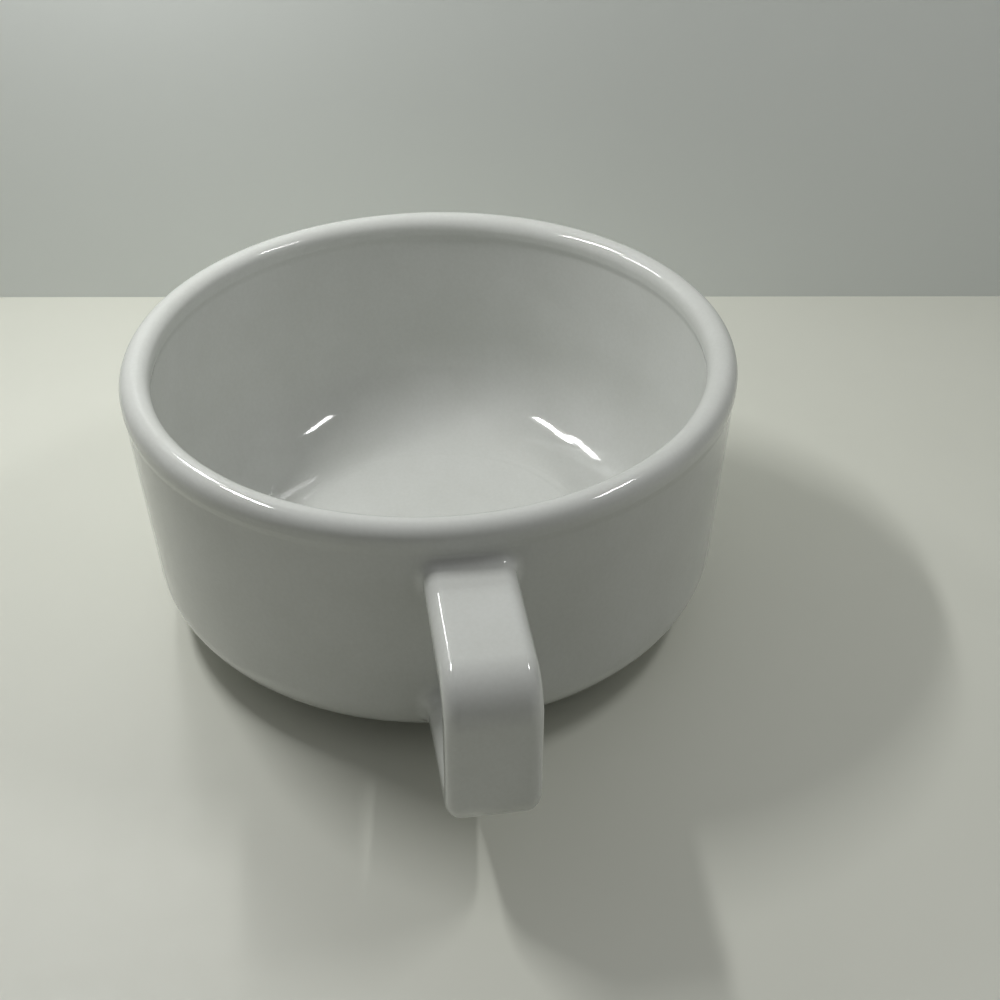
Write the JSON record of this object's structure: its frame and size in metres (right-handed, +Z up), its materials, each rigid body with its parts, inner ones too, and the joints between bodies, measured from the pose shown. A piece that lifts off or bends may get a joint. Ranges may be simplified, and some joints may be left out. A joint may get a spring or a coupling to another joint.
{
  "type": "soup mug",
  "caption": "Low, wide white porcelain soup mug with a thick rolled rim, a rounded bottom on a foot ring and a square-bent strap handle.",
  "frame": {"origin": "centre of the foot ring on the plane that the mug stands on", "axes": "+Z up along the cup's axis, +X out through the middle of the handle"},
  "size_m": [0.1389, 0.11, 0.052],
  "materials": {
    "clay": "bare fired porcelain, matt",
    "slip": "luting slip, glossy where it shows",
    "glaze": "clear glossy glaze"
  },
  "bodies": {
    "root": {"cup_body": "clay", "handle": "clay", "upper_handle_joint": "slip", "lower_handle_joint": "slip", "cup_glaze": "glaze", "handle_glaze": "glaze", "base_glaze": "glaze"}
  },
  "joints": []
}
